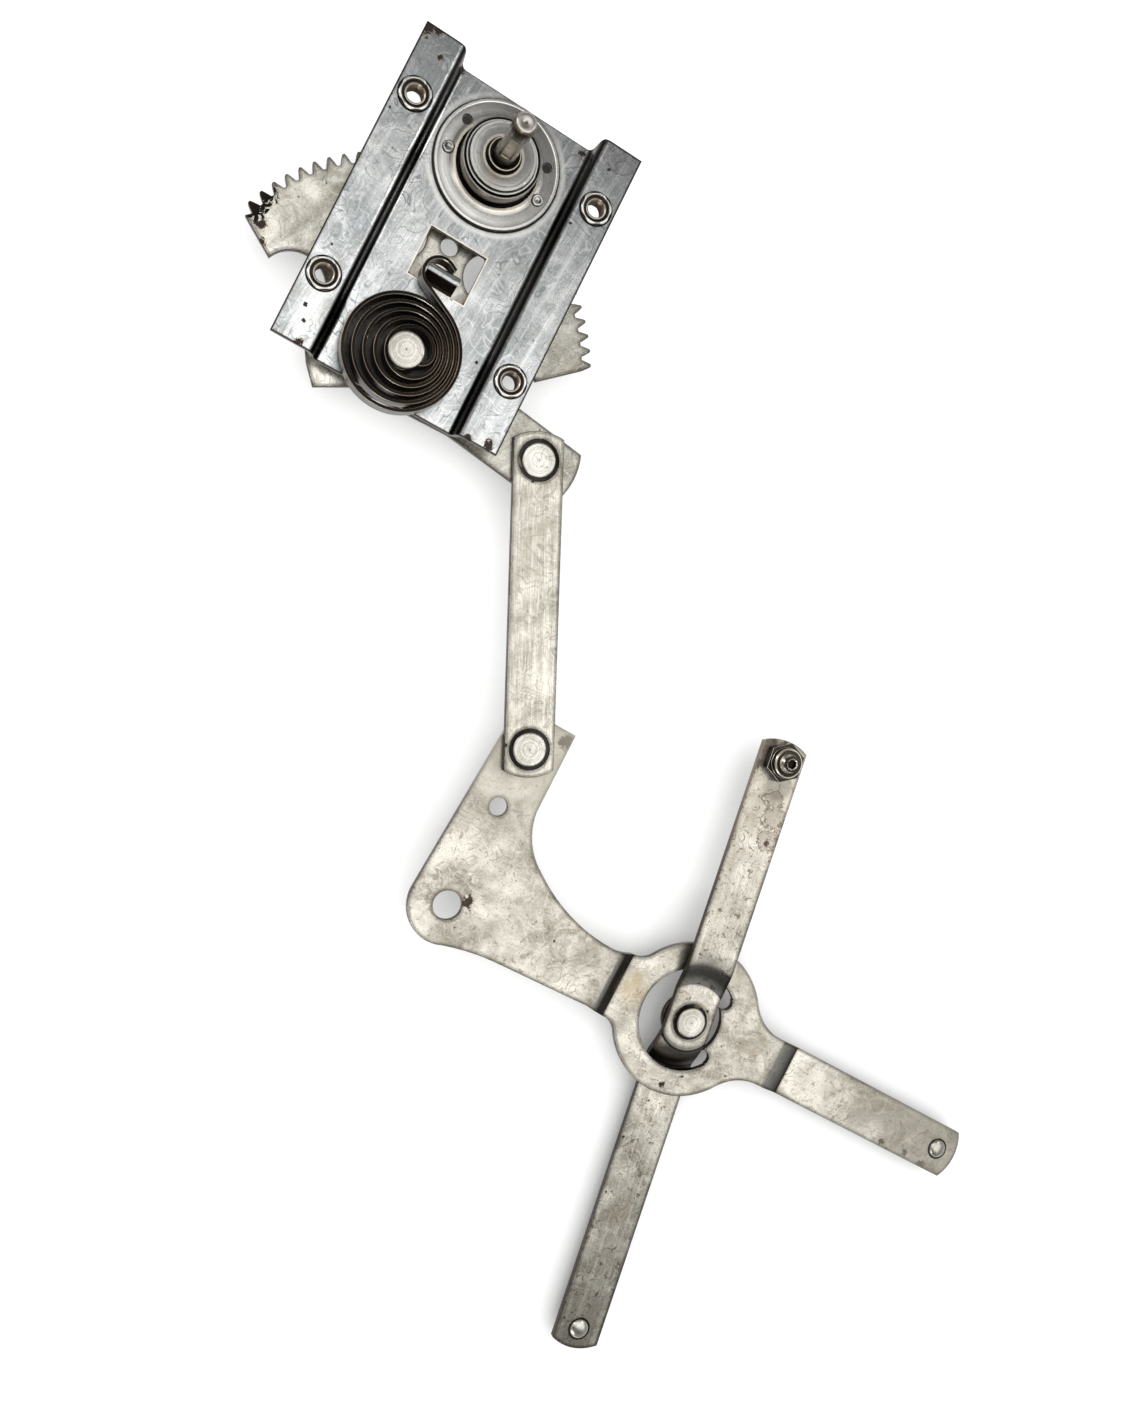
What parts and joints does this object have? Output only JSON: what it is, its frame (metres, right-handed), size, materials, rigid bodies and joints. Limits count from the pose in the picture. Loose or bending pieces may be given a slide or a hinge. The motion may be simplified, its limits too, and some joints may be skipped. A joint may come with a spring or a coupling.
{
  "type": "window regulator",
  "caption": "Hand-crank window regulator: hat-section gear plate with coil brake and spiral spring, sector gear, link and scissor lift arms.",
  "frame": {"origin": "centre of the four weld nuts, in the face of the plate's two mounting flanges", "axes": "+Z out of the flange face along the crank spindle; +Y along the flanges towards the crank end; +X across the flanges towards the link"},
  "size_m": [0.4981, 0.4809, 0.0777],
  "materials": {
    "galvanised_plate": "worn satin",
    "pressed_steel": "satin",
    "nut_steel": "worn satin",
    "spring_steel": "oiled dark",
    "shaft_steel": "turned",
    "bush_metal": "dark oiled",
    "arm_steel": "worn satin",
    "pin_steel": "satin",
    "roller_plastic": "matte",
    "black_oxide": "black oxide"
  },
  "bodies": {
    "plate": {"mounting_plate": "galvanised_plate", "weld_nut_1": "nut_steel", "weld_nut_2": "nut_steel", "weld_nut_3": "nut_steel", "weld_nut_4": "nut_steel", "brake_housing": "pressed_steel", "housing_rivet_1": "pressed_steel", "housing_rivet_2": "pressed_steel", "spindle_bush": "bush_metal", "sector_bush": "bush_metal", "counterbalance_spring": "spring_steel"},
    "crank": {"crank_shaft": "shaft_steel", "driver_cup": "pressed_steel", "brake_spring": "spring_steel", "pinion": "shaft_steel"},
    "sector": {"sector_gear": "arm_steel", "sector_pin": "pin_steel", "link_pin_upper": "pin_steel"},
    "link": {"link_bar": "arm_steel", "link_bush_upper": "bush_metal", "link_bush_lower": "bush_metal"},
    "arm_a": {"arm_a": "arm_steel", "link_pin_lower": "pin_steel", "pivot_strap": "arm_steel", "scissor_pin": "pin_steel", "roller_stud_a": "pin_steel"},
    "roller_a": {"roller_a": "roller_plastic"},
    "arm_b": {"arm_b": "arm_steel", "scissor_bush": "bush_metal", "roller_stud_b": "pin_steel", "guide_stud": "black_oxide", "lock_nut": "black_oxide"},
    "roller_b": {"roller_b": "roller_plastic"}
  },
  "joints": [
    {"name": "crank", "type": "hinge", "parent": "plate", "child": "crank", "pos_m": [-0.001, 0.0371, 0], "axis": [0, 0, 1], "range_deg": [-540, 660]},
    {"name": "sector_pivot", "type": "hinge", "parent": "plate", "child": "sector", "pos_m": [-0.001, -0.05155, 0], "axis": [0, 0, 1], "range_deg": [-55, 45], "deforming": ["counterbalance_spring"]},
    {"name": "link_upper", "type": "hinge", "parent": "sector", "child": "link", "pos_m": [0.06972, -0.06061, 0], "axis": [0, 0, 1], "range_deg": [-40, 40]},
    {"name": "link_lower", "type": "hinge", "parent": "link", "child": "arm_a", "pos_m": [0.12185, -0.1729, 0], "axis": [0, 0, 1], "range_deg": [-45, 45]},
    {"name": "scissor", "type": "hinge", "parent": "arm_a", "child": "arm_b", "pos_m": [0.24956, -0.25269, 0], "axis": [0, 0, 1], "range_deg": [-85, 2]},
    {"name": "roller_a_spin", "type": "hinge", "parent": "arm_a", "child": "roller_a", "pos_m": [0.4065, -0.26184, -0.0287], "axis": [0, 0, 1], "continuous": true},
    {"name": "roller_b_spin", "type": "hinge", "parent": "arm_b", "child": "roller_b", "pos_m": [0.26853, -0.40279, -0.0287], "axis": [0, 0, 1], "continuous": true}
  ],
  "couplings": [
    {"joint": "crank", "follows": "sector_pivot", "ratio": -11.857}
  ]
}
